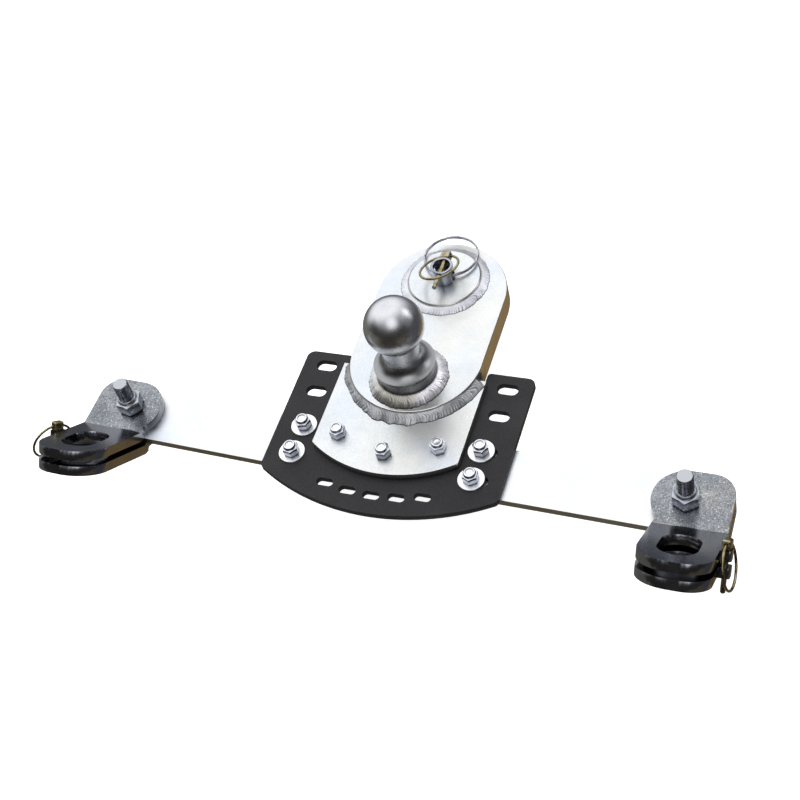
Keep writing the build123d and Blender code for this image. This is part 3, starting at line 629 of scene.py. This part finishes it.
def weld(name, node, material, centre, base, inner, leg, rise, arc, pitch, chevron, amp, seed, bulge, wander=0.10,
         lumps=()):
    """Rippled fillet bead about a vertical axis: t runs from the outer toe up to the inner one.

    arc is the first and last angle, pitch and chevron the ripples' spacing and slant, amp their height, bulge the
    crown and wander the unevenness. Each lump is a place along the bead, its width, and more leg and rise.
    """
    build = Build()
    start, end = arc
    closed = abs(end - start) > 2 * pi - 0.01
    length = (inner + leg / 2) * abs(end - start)
    ripples = max(1, round(length / pitch))
    along = int(length / WELD_STEP)
    rings = []
    for i in range(along + (0 if closed else 1)):
        u = i / along
        angle = lerp(start, end, u)
        cx, cy = cos(angle) * 1.7, sin(angle) * 1.7
        swell_leg = 1 + wander * (wave(cx * 2 + seed, cy * 2) + 0.6 * wave(cx * 6, cy * 6 + seed))
        swell_rise = 1 + wander * (wave(cx * 2.3, cy * 2.3, seed + 5) + 0.5 * wave(cx * 7 + seed, cy * 7, 3))
        for at, width, more_leg, more_rise in lumps:
            g = exp(-(((u - at) / width) ** 2))
            swell_leg += more_leg * g
            swell_rise += more_rise * g
        taper = 1.0 if closed else smooth(min(u, 1 - u) * length / 5.0) * 0.75 + 0.25
        own_leg, own_rise = leg * swell_leg * taper, rise * swell_rise * taper
        slope = atan2(own_leg, own_rise)
        scale = 0.75 + 0.45 * wave(cx * 5 + seed, cy * 5, 2)
        points, dark = [], []
        for k in range(WELD_ACROSS + 1):
            t = k / WELD_ACROSS
            slant = chevron * (0.7 * t + 0.6 * abs(2 * t - 1) ** 1.4)
            phase = u * ripples + slant + 1.3 * wave(u * ripples * 0.27, seed)
            ridge = abs(sin(pi * phase)) ** 0.7
            body = sin(pi * t) ** 0.6
            fine = wave(cx * 40, cy * 40, t * 6 + seed)
            h = bulge * own_leg * sin(pi * t) + amp * scale * (ridge - 0.6) * body + 0.22 * amp * fine * body
            jag = 0.5 * wave(phase * 0.5, seed + (0 if t < 0.5 else 9)) + 0.5 * wave(phase * 1.3, seed)
            r = inner + own_leg * (1 - t) + jag * (1 - t) ** 2 * 1.1 + h * cos(slope)
            z = base + own_rise * t + h * sin(slope)
            if k == 0:
                z = base - WELD_SUNK
            if k == WELD_ACROSS:
                r = inner - WELD_TUCK
            points.append((centre[0] + r * cos(angle), centre[1] + r * sin(angle), z))
            # painted shade amount: full at the toes and deepest in the creases between ripples
            toe = max(0.0, 1 - min(t, 1 - t) * 6.5)
            crease = max(0.0, 0.60 - ridge) * 1.7 * max(0.1, scale)
            dark.append(min(1.0, toe + crease))
        foot = inner - WELD_TUCK
        points.append((centre[0] + foot * cos(angle), centre[1] + foot * sin(angle), base - WELD_SUNK))
        dark.append(1.0)
        rings.append(build.ring(points, dark))
    build.stack(rings, loop=closed)
    if not closed:
        build.faces += [tuple(reversed(rings[0])), tuple(rings[-1])]
    return build.make(name, material, "hitch", [node], "weld", sharp=180)


PLATE_TOP, FRONT_PLATE_TOP = INCH, 17.4
ROUND_ARC = (0, 2 * pi)
FRONT_ARC = (-pi / 2 - radians(80), -pi / 2 + radians(80))

weld("ball_bead", "ball_weld", mat["weld_gold"], (0, -127), PLATE_TOP, 29.8, 10.6, 9.2, ROUND_ARC,
     pitch=2.4, chevron=1.3, amp=0.5, seed=2.0, bulge=0.08)
weld("shank_bead", "shank_weld", mat["weld"], (0, 0), PLATE_TOP, 38.1, 8.6, 5.0, ROUND_ARC,
     pitch=2.7, chevron=1.5, amp=0.38, seed=7.0, bulge=0.03, lumps=((0.66, 0.02, 0.25, 0.2),))
weld("plate_bead", "plate_weld", mat["weld_front"], (0, -102), FRONT_PLATE_TOP, 68.25, 9.2, 7.2, FRONT_ARC,
     pitch=3.0, chevron=1.7, amp=0.5, seed=11.0, bulge=0.02, wander=0.20,
     lumps=((0.10, 0.20, -0.26, -0.06), (0.40, 0.030, 0.30, 0.08), (0.47, 0.03, 0.22, 0.12), (0.56, 0.02, 0.28, 0.08)))


# ---------------------------------------------------------------- wires


WIRE_SIDES = 12


def sweep(build, path, radius):
    """Round wire along a list of points, its ends domed."""
    points = [Vector(p) for p in path]
    last = len(points) - 1
    frames = []
    up = None
    for i in range(last + 1):
        along = (points[min(i + 1, last)] - points[max(i - 1, 0)]).normalized()
        if up is None:
            up = along.orthogonal().normalized()
        up = (up - along * up.dot(along)).normalized()
        frames.append((along, up.copy(), along.cross(up)))

    def section(centre, a, b, size):
        turns = [2 * pi * k / WIRE_SIDES for k in range(WIRE_SIDES)]
        return build.ring([centre + (a * cos(turn) + b * sin(turn)) * size for turn in turns])

    rings = [section(p, a, b, radius) for p, (_, a, b) in zip(points, frames)]
    build.stack(rings)
    for end, sign in ((0, -1), (-1, 1)):
        along, a, b = frames[end]
        small = section(points[end] + along * sign * radius * 0.35, a, b, radius * 0.72)
        tip = points[end] + along * sign * radius * 0.5
        if sign > 0:
            build.bridge(rings[-1], small)
            build.fan(small, tip)
        else:
            build.bridge(small, rings[0])
            build.fan(small, tip, flip=True)


def lock_spring():
    """Coil between the drum and the chamber's roof, its end turns closed."""
    radius, wire, turns, steps = 16.6, 1.6, 2.6, 40
    low, high, closed_rise = -24.1, -2.9, 3.3
    path = []
    for i in range(int((turns + 2) * steps) + 1):
        turned = i / steps
        if turned < 1:
            z = low + closed_rise * turned
        elif turned > turns + 1:
            z = high - closed_rise * (turns + 2 - turned)
        else:
            z = lerp(low + closed_rise, high - closed_rise, (turned - 1) / turns)
        path.append((radius * cos(2 * pi * turned), radius * sin(2 * pi * turned), z))
    build = Build()
    sweep(build, path, wire)
    spring = build.make("lock_spring_coil", mat["machined"], "lock", ["lock_spring"], "machined", sharp=60)
    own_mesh(spring)


def pull_ring():
    """Split ring: one wire wound twice through the stem's cross hole, almost level at rest."""
    radius, wire, gap, steps = 28.2, 0.97, 0.98, 300
    lean = radians(-3)
    out = Vector((0, cos(lean), sin(lean)))
    across = Vector((1, 0, 0))
    thick = across.cross(out)
    centre = Vector((0, 0, 36.0)) + out * 27.5
    path = []
    for i in range(steps + 1):
        turned = 4 * pi * i / steps
        shift = lerp(-0.92, 0.92, smooth((turned - 2 * pi + 0.35) / 0.7))
        angle = turned + radians(118)
        path.append(centre + (across * cos(angle) + out * sin(angle)) * radius + thick * shift * gap)
    build = Build()
    sweep(build, path, wire)
    build.make("pull_ring_wire", mat["wire"], "pull_ring", ["pull_ring"], "wire", sharp=60)


lock_spring()
pull_ring()


# ---------------------------------------------------------------- studio


def stage_floor(level):
    """Pale paper that glows a little and is seen only from above, so that views from below aren't blocked."""
    size = 6.0
    mesh = bpy.data.meshes.new("floor")
    mesh.from_pydata([(-size, -size, level), (size, -size, level), (size, size, level), (-size, size, level)], [],
                     [(0, 1, 2, 3)])
    obj = bpy.data.objects.new("floor", mesh)
    bpy.context.scene.collection.objects.link(obj)
    s = Shader("floor_paper")
    s.finish((0.62, 0.62, 0.62), 0.0, 0.9)
    glow = s.node("ShaderNodeEmission")
    glow.inputs["Color"].default_value = (1, 1, 1, 1)
    glow.inputs["Strength"].default_value = 0.82
    both = s.node("ShaderNodeAddShader")
    s.link(s.bsdf.outputs[0], both.inputs[0])
    s.link(glow.outputs[0], both.inputs[1])
    one_sided = s.node("ShaderNodeMixShader")
    s.link(s.node("ShaderNodeNewGeometry").outputs["Backfacing"], one_sided.inputs[0])
    s.link(both.outputs[0], one_sided.inputs[1])
    s.link(s.node("ShaderNodeBsdfTransparent").outputs[0], one_sided.inputs[2])
    s.link(one_sided.outputs[0], s.output.inputs["Surface"])
    mesh.materials.append(s.material)
    obj.visible_glossy = False


stage_floor(cad_box[0][2] - 0.001)


def studio_world():
    """Room for reflections: a wide soft box overhead and behind, small ones, a dark front and a warm bench."""
    world = bpy.data.worlds.new("studio")
    bpy.context.scene.world = world
    world.use_nodes = True
    tree = world.node_tree
    tree.nodes.clear()
    link = tree.links.new

    def node(kind, **values):
        made = tree.nodes.new(kind)
        for key, value in values.items():
            setattr(made, key, value)
        return made

    def sock(target, value):
        if isinstance(value, bpy.types.NodeSocket):
            link(value, target)
        else:
            target.default_value = value

    coord = node("ShaderNodeTexCoord").outputs["Generated"]
    split = node("ShaderNodeSeparateXYZ")
    link(coord, split.inputs[0])

    def ramp(value, low, high, out_low=0.0, out_high=1.0):
        made = node("ShaderNodeMapRange", interpolation_type="SMOOTHSTEP")
        sock(made.inputs["Value"], value)
        for key, v in (("From Min", low), ("From Max", high), ("To Min", out_low), ("To Max", out_high)):
            made.inputs[key].default_value = v
        return made.outputs["Result"]

    def mix(factor, a, b, blend="MIX"):
        made = node("ShaderNodeMix", data_type="RGBA", blend_type=blend)
        sock(made.inputs[0], factor)
        sock(made.inputs[6], (*a, 1) if isinstance(a, tuple) else a)
        sock(made.inputs[7], (*b, 1) if isinstance(b, tuple) else b)
        return made.outputs[2]

    def math_node(operation, a, b):
        made = node("ShaderNodeMath", operation=operation)
        sock(made.inputs[0], a)
        sock(made.inputs[1], b)
        return made.outputs[0]

    def near(direction, inner, outer):
        dot = node("ShaderNodeVectorMath", operation="DOT_PRODUCT")
        link(coord, dot.inputs[0])
        dot.inputs[1].default_value = Vector(direction).normalized()
        return ramp(dot.outputs["Value"], cos(radians(outer)), cos(radians(inner)))

    lit = near((-0.45, 0.45, 0.77), 26, 74)
    sky = mix(lit, (0.21, 0.215, 0.23), (1.44, 1.46, 1.49))
    low_front = math_node("MULTIPLY", ramp(split.outputs["Z"], 0.64, 0.42), ramp(split.outputs["Y"], 0.0, -0.35))
    sky = mix(low_front, sky, (0.036, 0.034, 0.031))
    low_right = math_node("MULTIPLY", ramp(split.outputs["Z"], 0.30, 0.05), ramp(split.outputs["X"], 0.45, 0.80))
    sky = mix(low_right, sky, (0.040, 0.040, 0.045))
    sky = mix(near((0.20, -0.50, 0.84), 10, 25), sky, (1.62, 1.63, 1.66))
    sky = mix(near((0.65, 0.24, 0.72), 6, 16), sky, (0.66, 0.66, 0.70))
    sky = mix(near((0.80, 0.454, 0.388), 4, 12), sky, (1.1, 1.1, 1.14))
    sky = mix(near((0.615, 0.538, 0.577), 7, 16), sky, (2.1, 2.1, 2.15))
    ground = mix(ramp(split.outputs["Y"], 0.05, -0.35), (0.085, 0.093, 0.112), (0.135, 0.115, 0.08))
    ground = mix(ramp(split.outputs["X"], -0.45, -0.70), ground, (0.19, 0.185, 0.16))
    ground = mix(near((-0.05, -0.95, -0.25), 16, 36), ground, (0.045, 0.042, 0.038))
    ground = mix(near((0.33, 0.54, -0.77), 14, 34), ground, (0.27, 0.19, 0.09))
    ground = mix(near((0.0, -0.1, -1.0), 10, 34), ground, (0.27, 0.265, 0.25))
    color = mix(ramp(split.outputs["Z"], -0.14, -0.02), ground, sky)
    # The camera sees plain paper beyond the floor; only reflections and light see the room.
    color = mix(node("ShaderNodeLightPath").outputs["Is Camera Ray"], color, (1.0, 1.0, 1.0))
    background = node("ShaderNodeBackground")
    link(color, background.inputs["Color"])
    output = node("ShaderNodeOutputWorld")
    link(background.outputs[0], output.inputs[0])


studio_world()


def soft_light(name, place, size, power):
    """Round area light on the object that reflections don't show."""
    light = bpy.data.lights.new(name, "AREA")
    light.shape = "DISK"
    light.size = size
    light.energy = power
    obj = bpy.data.objects.new(name, light)
    obj.location = place
    obj.rotation_euler = (Vector((0, -0.1, 0)) - Vector(place)).to_track_quat("-Z", "Y").to_euler()
    obj.visible_glossy = False
    bpy.context.scene.collection.objects.link(obj)


soft_light("overhead", (-0.5, 0.5, 2.2), 2.4, 42)
soft_light("fill", (1.4, -1.6, 1.6), 1.6, 12)


def camera():
    """Camera at the photo's angle: lens, place and axes fitted to the picture."""
    right, ahead = (0.935, 0.301, -0.190), (-0.331, 0.542, -0.773)
    data = bpy.data.cameras.new("camera")
    data.sensor_width = 36.0
    data.lens = 67.27
    obj = bpy.data.objects.new("camera", data)
    z = -Vector(ahead).normalized()
    x = Vector(right)
    x = (x - z * x.dot(z)).normalized()
    y = z.cross(x)
    m = Matrix((x, y, z)).transposed().to_4x4()
    m.translation = Vector((0.4841, -0.9490, 1.1561))
    obj.matrix_world = m
    bpy.context.scene.collection.objects.link(obj)
    bpy.context.scene.camera = obj


camera()
bpy.context.scene.view_settings.view_transform = "Standard"
